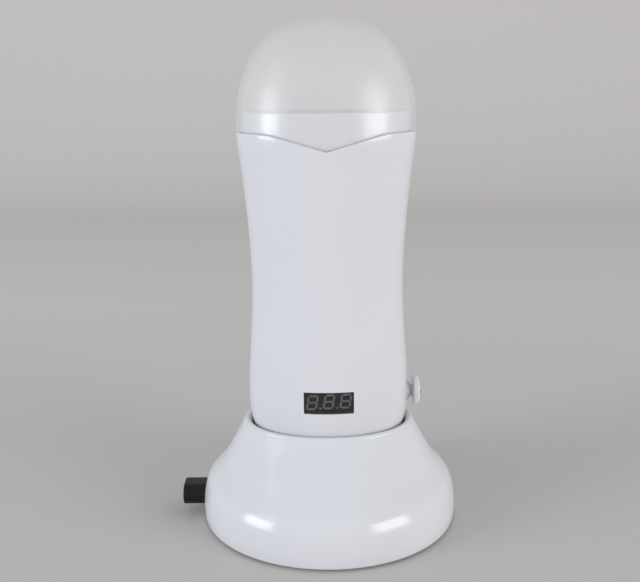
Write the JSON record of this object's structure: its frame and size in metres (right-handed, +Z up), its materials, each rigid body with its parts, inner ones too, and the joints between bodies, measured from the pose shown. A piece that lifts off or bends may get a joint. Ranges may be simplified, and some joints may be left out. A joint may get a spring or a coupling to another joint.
{
  "type": "roll-on wax heater",
  "caption": "Waisted roll-on wax warmer with a clear lift-off lid, a number display and a side knob, standing in a flared contact base.",
  "frame": {"origin": "on the table, under the middle of the round base", "axes": "+Z up along the hand unit, -Y to the front (the display side), +X to the knob side"},
  "size_m": [0.1327, 0.1228, 0.237],
  "materials": {
    "gloss_white": "cool white gloss moulding",
    "clear_plastic": "clear, slightly frosted moulding",
    "smoked_plastic": "smoked gloss window",
    "black_plastic": "fine matt",
    "rubber": "matt",
    "screw_steel": "zinc plated",
    "spring_steel": "bright",
    "plated_pin": "nickel plated",
    "brass": "bright",
    "aluminium": "drawn, satin",
    "heater_ceramic": "matt",
    "circuit_board": "solder resist",
    "segment_grey": "unlit segments",
    "black_insulation": "matt",
    "red_insulation": "matt"
  },
  "bodies": {
    "base": {"base_shell": "gloss_white", "base_plate": "gloss_white", "foot_ring": "rubber", "base_screws": "screw_steel", "contact_block": "black_plastic", "contact_spring_left": "spring_steel", "contact_spring_right": "spring_steel", "contact_terminals": "brass", "inlet_housing": "black_plastic", "inlet_pins": "plated_pin", "inlet_screws": "screw_steel", "base_leads": "black_insulation"},
    "contact_pin_left": {"contact_pin_left": "brass"},
    "contact_pin_right": {"contact_pin_right": "brass"},
    "hand_unit": {"front_shell": "gloss_white", "rear_shell": "gloss_white", "bottom_cap": "gloss_white", "cap_screws": "screw_steel", "contact_studs": "brass", "stud_leads": "red_insulation", "power_board": "circuit_board", "board_parts": "black_plastic", "control_board": "circuit_board", "display_module": "black_plastic", "display_digits": "segment_grey", "display_window": "smoked_plastic", "potentiometer": "plated_pin", "collar": "gloss_white", "heating_sleeve": "aluminium", "heater_plates": "heater_ceramic", "heater_clip": "spring_steel", "thermal_fuse": "plated_pin", "temperature_sensor": "red_insulation", "heater_leads": "red_insulation"},
    "knob": {"knob": "gloss_white", "pot_shaft": "plated_pin", "knob_marker": "black_plastic"},
    "lid": {"lid": "clear_plastic"}
  },
  "joints": [
    {"name": "contact_left_press", "type": "slide", "parent": "base", "child": "contact_pin_left", "axis": [0, 0, -1], "range_m": [0, 0.0012], "stiffness_N_per_m": 500, "deforming": ["contact_spring_left"]},
    {"name": "contact_right_press", "type": "slide", "parent": "base", "child": "contact_pin_right", "axis": [0, 0, -1], "range_m": [0, 0.0012], "stiffness_N_per_m": 500, "deforming": ["contact_spring_right"]},
    {"name": "hand_unit_lift", "type": "slide", "parent": "base", "child": "hand_unit", "axis": [0, 0, 1], "range_m": [0, 0.06]},
    {"name": "knob_turn", "type": "hinge", "parent": "hand_unit", "child": "knob", "pos_m": [0.045, 0, 0.062], "axis": [1, 0, 0], "range_deg": [-150, 150]},
    {"name": "lid_lift", "type": "slide", "parent": "hand_unit", "child": "lid", "axis": [0, 0, 1], "range_m": [0, 0.06]}
  ]
}
